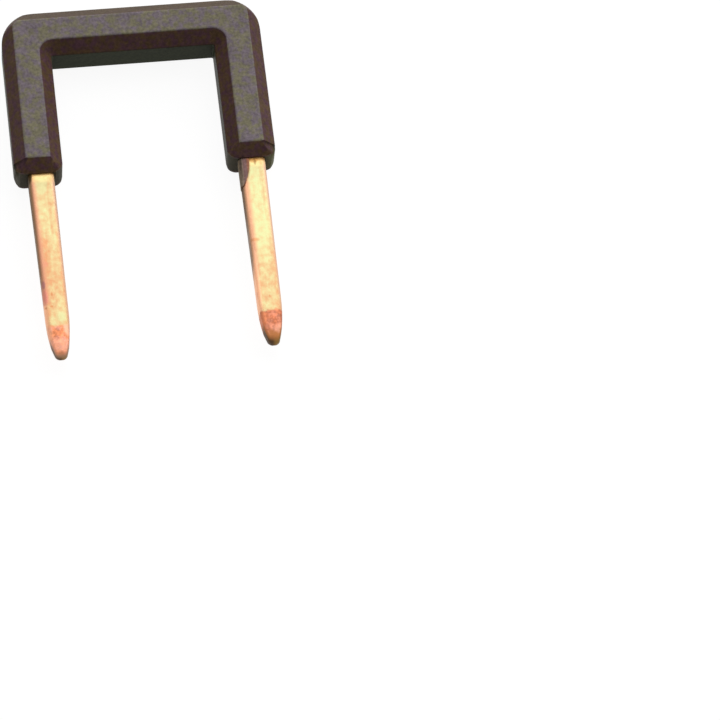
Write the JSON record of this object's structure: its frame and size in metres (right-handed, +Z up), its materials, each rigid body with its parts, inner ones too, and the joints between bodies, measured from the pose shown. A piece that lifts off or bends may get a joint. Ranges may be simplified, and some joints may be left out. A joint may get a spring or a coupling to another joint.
{
  "type": "terminal block jumper",
  "caption": "U-shaped jumper: a bent copper link in a chamfered insulating cover, with bare tapered pins that bridge neighbouring terminals.",
  "frame": {"origin": "on the surface that the jumper lies on, under the middle of its overall box", "axes": "+Z up, out of the front face; X along the bar; +Y from the pin tips towards the bar"},
  "size_m": [0.0218, 0.032, 0.0046],
  "materials": {
    "cover_plastic": "fine matte grain, dark warm grey",
    "bare_copper": "bare drawn copper, lightly tarnished"
  },
  "bodies": {
    "root": {"insulating_cover": "cover_plastic", "copper_link": "bare_copper"}
  },
  "joints": []
}
